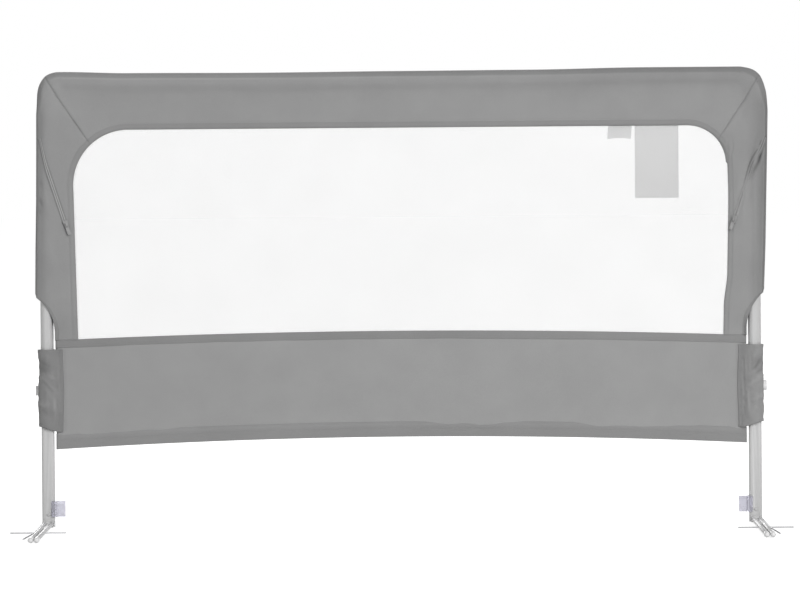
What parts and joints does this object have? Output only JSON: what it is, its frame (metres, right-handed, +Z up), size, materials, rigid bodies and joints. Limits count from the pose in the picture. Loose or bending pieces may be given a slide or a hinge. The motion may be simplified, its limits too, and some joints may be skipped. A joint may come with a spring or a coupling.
{
  "type": "folding bed guard rail",
  "caption": "Fabric-covered tube frame with a netting window on hinged legs with flat under-mattress arms; folds down outwards when its side buttons are pressed.",
  "frame": {"origin": "middle of the footprint at the bed base: z = 0 is the underside of the arms and foot brackets", "axes": "+X along the rail to its right as seen from the mattress, +Y away from the mattress, +Z up"},
  "size_m": [1.07, 0.374, 0.6331],
  "materials": {
    "tube_paint": "satin light grey powder coat",
    "grey_plastic": "moulded grey plastic",
    "steel": "plated",
    "grey_fabric": "plain mid-grey weave",
    "sleeve_fabric": "plain darker grey weave",
    "netting": "fine white netting",
    "zip_nylon": "grey zip tape and coil",
    "zip_metal": "dark grey enamel",
    "woven_tape": "blank white woven tape",
    "grey_vinyl": "soft light grey cap",
    "lilac_plastic": "translucent pale lilac"
  },
  "bodies": {
    "base": {"panel_lower": "grey_fabric", "lower_leg_left": "tube_paint", "hinge_base_left": "grey_plastic", "base_rivet_left": "steel", "pivot_pin_left": "steel", "release_spring_left": "steel", "sleeve_lower_left": "sleeve_fabric", "foot_bracket_left": "grey_plastic", "foot_rivet_left": "steel", "foot_pin_left": "steel", "lower_leg_right": "tube_paint", "hinge_base_right": "grey_plastic", "base_rivet_right": "steel", "pivot_pin_right": "steel", "release_spring_right": "steel", "sleeve_lower_right": "sleeve_fabric", "foot_bracket_right": "grey_plastic", "foot_rivet_right": "steel", "foot_pin_right": "steel"},
    "guard": {"frame_middle": "tube_paint", "cover_top": "grey_fabric", "mesh_window": "netting", "panel_upper": "grey_fabric", "woven_tab_large": "woven_tape", "woven_tab_small": "woven_tape", "frame_corner_left": "tube_paint", "frame_joiner_left": "steel", "joiner_screw_left_inner": "steel", "joiner_screw_left_outer": "steel", "hinge_fork_left": "grey_plastic", "fork_rivet_left": "steel", "cover_left": "grey_fabric", "sleeve_upper_left": "sleeve_fabric", "zip_left": "zip_nylon", "frame_corner_right": "tube_paint", "frame_joiner_right": "steel", "joiner_screw_right_inner": "steel", "joiner_screw_right_outer": "steel", "hinge_fork_right": "grey_plastic", "fork_rivet_right": "steel", "cover_right": "grey_fabric", "sleeve_upper_right": "sleeve_fabric", "zip_right": "zip_nylon"},
    "left_button": {"release_button_left": "grey_plastic"},
    "left_arm": {"foot_arm_left": "tube_paint", "cross_wire_left": "steel", "arm_cap_left_inner": "grey_vinyl", "arm_cap_left_outer": "grey_vinyl"},
    "left_lock": {"foot_lock_left": "lilac_plastic"},
    "left_zip_slider": {"zip_slider_left": "zip_metal"},
    "left_zip_pull": {"zip_pull_left": "zip_metal"},
    "right_button": {"release_button_right": "grey_plastic"},
    "right_arm": {"foot_arm_right": "tube_paint", "cross_wire_right": "steel", "arm_cap_right_inner": "grey_vinyl", "arm_cap_right_outer": "grey_vinyl"},
    "right_lock": {"foot_lock_right": "lilac_plastic"},
    "right_zip_slider": {"zip_slider_right": "zip_metal"},
    "right_zip_pull": {"zip_pull_right": "zip_metal"}
  },
  "joints": [
    {"name": "guard_fold", "type": "hinge", "parent": "base", "child": "guard", "pos_m": [0, 0.176, 0.19], "axis": [-1, 0, 0], "range_deg": [0, 175]},
    {"name": "left_button_press", "type": "slide", "parent": "base", "child": "left_button", "axis": [1, 0, 0], "range_m": [0, 0.004], "stiffness_N_per_m": 1500, "springref_m": -0.002, "deforming": ["release_spring_left"]},
    {"name": "left_arm_fold", "type": "hinge", "parent": "base", "child": "left_arm", "pos_m": [-0.494, 0.146, 0.0045], "axis": [-1, 0, 0], "range_deg": [0, 90]},
    {"name": "left_lock_slide", "type": "slide", "parent": "base", "child": "left_lock", "axis": [0, 0, 1], "range_m": [0, 0.012]},
    {"name": "left_zip_slide", "type": "slide", "parent": "guard", "child": "left_zip_slider", "axis": [-0.3057, -0.0725, 0.9494], "range_m": [0, 0.065]},
    {"name": "left_pull_swing", "type": "hinge", "parent": "left_zip_slider", "child": "left_zip_pull", "pos_m": [-0.46518, 0.15389, 0.4221], "axis": [-0.9211, -0.2299, -0.3142], "range_deg": [0, 150]},
    {"name": "right_button_press", "type": "slide", "parent": "base", "child": "right_button", "axis": [-1, 0, 0], "range_m": [0, 0.004], "stiffness_N_per_m": 1500, "springref_m": -0.002, "deforming": ["release_spring_right"]},
    {"name": "right_arm_fold", "type": "hinge", "parent": "base", "child": "right_arm", "pos_m": [0.494, 0.146, 0.0045], "axis": [-1, 0, 0], "range_deg": [0, 90]},
    {"name": "right_lock_slide", "type": "slide", "parent": "base", "child": "right_lock", "axis": [0, 0, 1], "range_m": [0, 0.012]},
    {"name": "right_zip_slide", "type": "slide", "parent": "guard", "child": "right_zip_slider", "axis": [0.3057, -0.0725, 0.9494], "range_m": [0, 0.065]},
    {"name": "right_pull_swing", "type": "hinge", "parent": "right_zip_slider", "child": "right_zip_pull", "pos_m": [0.46518, 0.15389, 0.4221], "axis": [-0.9211, 0.2299, 0.3142], "range_deg": [0, 150]}
  ]
}
